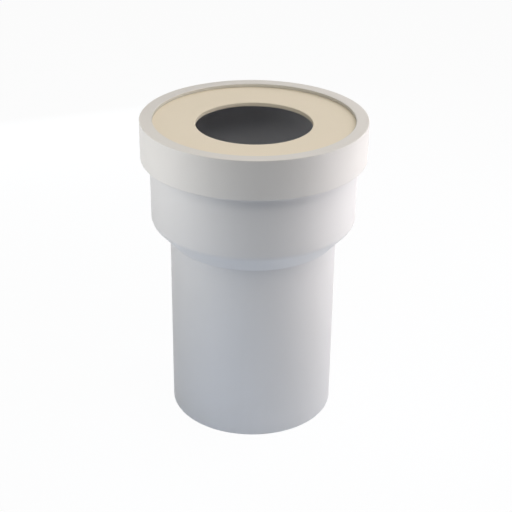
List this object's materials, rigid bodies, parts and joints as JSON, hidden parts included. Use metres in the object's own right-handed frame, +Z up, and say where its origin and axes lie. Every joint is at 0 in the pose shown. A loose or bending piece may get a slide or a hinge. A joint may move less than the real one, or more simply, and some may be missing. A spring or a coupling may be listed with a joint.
{
  "type": "toilet pan connector",
  "caption": "Straight white toilet pan connector: a plain spigot widens through a conical shoulder to a bell, where a clipped collar holds an ivory membrane seal.",
  "frame": {"origin": "centre of the spigot's open end, on the surface that the part stands on", "axes": "+Z up the connector's own axis, from the spigot's end to the collar's rim; X and Y are free, because the part is round"},
  "size_m": [0.1468, 0.1468, 0.2064],
  "materials": {
    "white_plastic": "white moulded plastic, satin",
    "ivory_elastomer": "ivory soft elastomer, matte"
  },
  "bodies": {
    "root": {"spigot_body": "white_plastic", "retaining_collar": "white_plastic", "pan_seal": "ivory_elastomer"}
  },
  "joints": []
}
